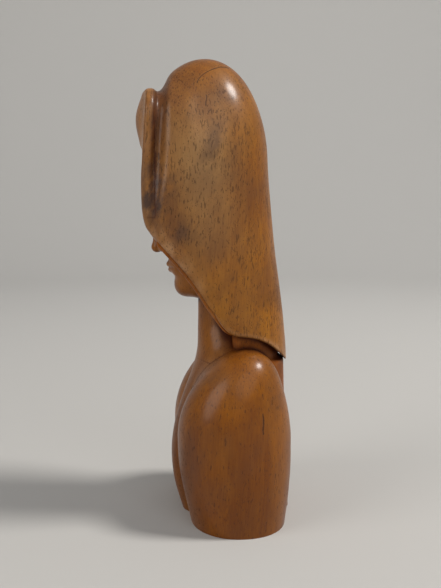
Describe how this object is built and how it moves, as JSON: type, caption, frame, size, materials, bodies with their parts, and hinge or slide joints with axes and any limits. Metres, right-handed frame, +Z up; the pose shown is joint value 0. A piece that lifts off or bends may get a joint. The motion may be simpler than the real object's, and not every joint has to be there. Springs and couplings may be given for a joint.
{
  "type": "carved wooden madonna bust",
  "caption": "Carved wooden bust of a veiled woman with a bowed head, rounded shoulders and a flat base, for a shelf or a small home altar.",
  "frame": {"origin": "on the floor at the middle of the flat base", "axes": "+Z up to the crown of the veil, -Y the way the figure faces, +X the figure's own left"},
  "size_m": [0.116, 0.0942, 0.2801],
  "materials": {
    "carved_wood": "waxed golden-brown hardwood with dark open pores and a satin gloss, darker in the carved recesses"
  },
  "bodies": {
    "root": {"veil": "carved_wood", "brow_fold": "carved_wood", "under_veil": "carved_wood", "head": "carved_wood", "neck": "carved_wood", "gown": "carved_wood", "left_shoulder": "carved_wood", "right_shoulder": "carved_wood"}
  },
  "joints": []
}
